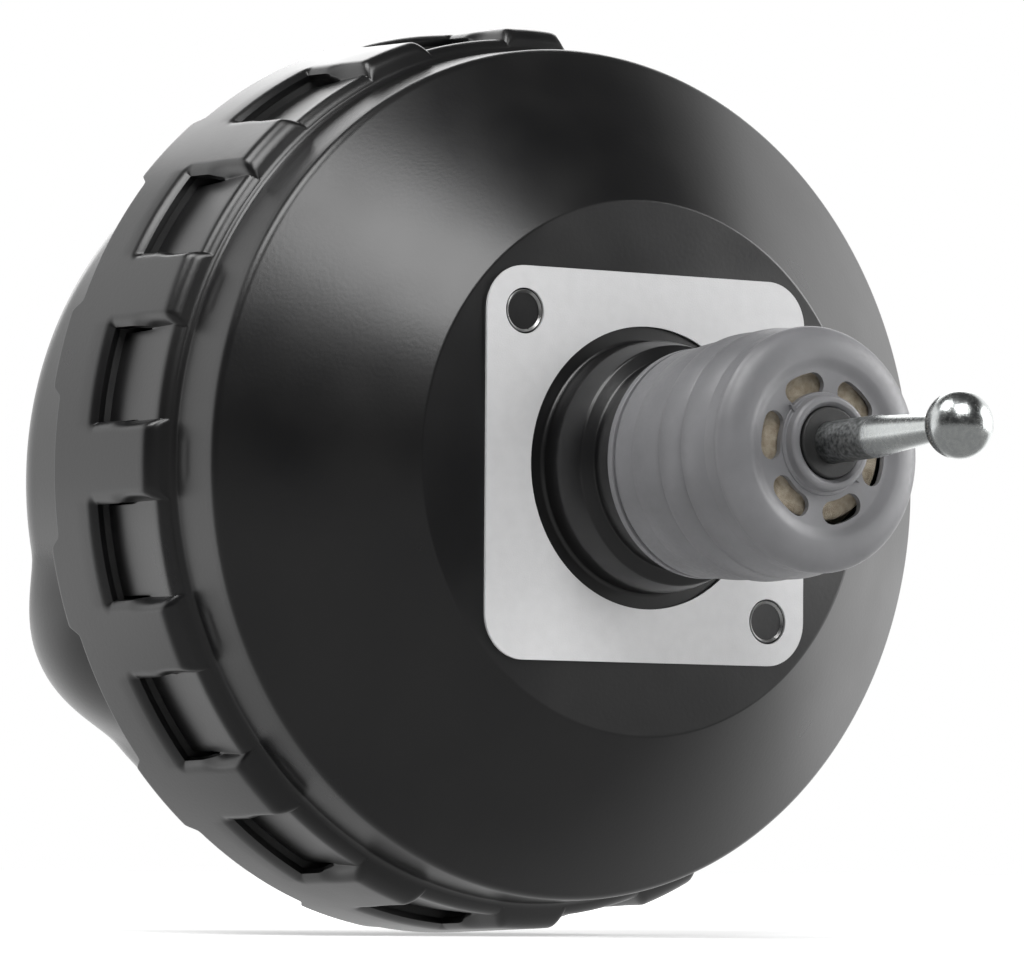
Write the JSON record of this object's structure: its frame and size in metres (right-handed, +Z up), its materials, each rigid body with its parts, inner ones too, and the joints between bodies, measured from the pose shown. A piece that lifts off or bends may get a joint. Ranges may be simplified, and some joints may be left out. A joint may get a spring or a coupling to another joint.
{
  "type": "brake booster",
  "caption": "Round tandem vacuum brake booster with a lanced black drum, grey bellows boot, pedal push rod with ball end and tie-bolt fixings",
  "frame": {"origin": "centre of the firewall gasket's outer face, on the booster's axis", "axes": "+Y along the axis to the engine and master cylinder, -Y to the pedal, +Z up, +X to the right when seen from the pedal"},
  "size_m": [0.25, 0.3284, 0.25],
  "materials": {
    "shell_paint": "satin black paint on pressed steel",
    "gasket_fibre": "light grey fibre sheet",
    "boot_rubber": "smooth grey moulded rubber",
    "black_rubber": "matte black rubber",
    "diaphragm_rubber": "thin black diaphragm rubber",
    "zinc_steel": "zinc plated steel",
    "rod_steel": "zinc plated shank with a polished ball",
    "spring_steel": "dark spring wire",
    "plate_steel": "bare pressed steel sheet",
    "valve_plastic": "dark phenolic moulding",
    "nylon": "natural nylon",
    "port_plastic": "black glass-filled nylon",
    "filter_felt": "beige felt",
    "filter_foam": "dark open foam"
  },
  "bodies": {
    "shell": {"firewall_gasket": "gasket_fibre", "rear_shell": "shell_paint", "front_shell": "shell_paint", "tie_bolt_upper": "zinc_steel", "tie_bolt_lower": "zinc_steel", "bolt_end_seals": "black_rubber", "divider": "plate_steel", "divider_seal": "black_rubber", "divider_bolt_seals": "black_rubber", "rear_diaphragm": "diaphragm_rubber", "front_diaphragm": "diaphragm_rubber", "neck_bearing": "nylon", "neck_seal": "black_rubber", "master_cylinder_seal": "black_rubber", "vacuum_grommet": "black_rubber", "check_valve_body": "port_plastic", "hose_nipple": "port_plastic", "check_spring": "spring_steel", "boot": "boot_rubber", "return_spring": "spring_steel"},
    "power_piston": {"valve_body": "valve_plastic", "rear_plate": "plate_steel", "front_plate": "plate_steel", "rear_lock_ring": "plate_steel", "front_lock_ring": "plate_steel", "sliding_bolt_seals": "black_rubber", "reaction_disc": "black_rubber", "output_rod": "zinc_steel", "output_tip": "zinc_steel", "output_rod_retainer": "plate_steel", "stop_key": "plate_steel", "poppet_valve": "black_rubber", "poppet_retainer": "plate_steel", "poppet_spring": "spring_steel", "rod_return_spring": "spring_steel", "air_filter": "filter_felt", "silencer_foam": "filter_foam"},
    "air_valve": {"air_valve_plunger": "zinc_steel"},
    "push_rod": {"input_rod": "rod_steel", "rod_spring_seat": "zinc_steel", "rod_ring": "black_rubber"},
    "check_valve_disc": {"check_disc": "black_rubber"}
  },
  "joints": [
    {"name": "piston_travel", "type": "slide", "parent": "shell", "child": "power_piston", "axis": [0, 1, 0], "range_m": [0, 0.028], "stiffness_N_per_m": 4000, "springref_m": -0.03, "deforming": ["boot", "return_spring", "rear_diaphragm", "front_diaphragm"]},
    {"name": "plunger_travel", "type": "slide", "parent": "power_piston", "child": "air_valve", "axis": [0, 1, 0], "range_m": [0, 0.002], "stiffness_N_per_m": 3000, "springref_m": -0.005, "deforming": ["poppet_valve", "poppet_spring", "rod_return_spring"]},
    {"name": "rod_swing", "type": "hinge", "parent": "air_valve", "child": "push_rod", "pos_m": [0, -0.002, 0], "axis": [1, 0, 0], "range_deg": [-1, 3.5], "stiffness_Nm_per_rad": 15},
    {"name": "check_lift", "type": "slide", "parent": "shell", "child": "check_valve_disc", "axis": [0, -1, 0], "range_m": [0, 0.0012], "stiffness_N_per_m": 40, "springref_m": -0.004, "deforming": ["check_spring"]}
  ]
}
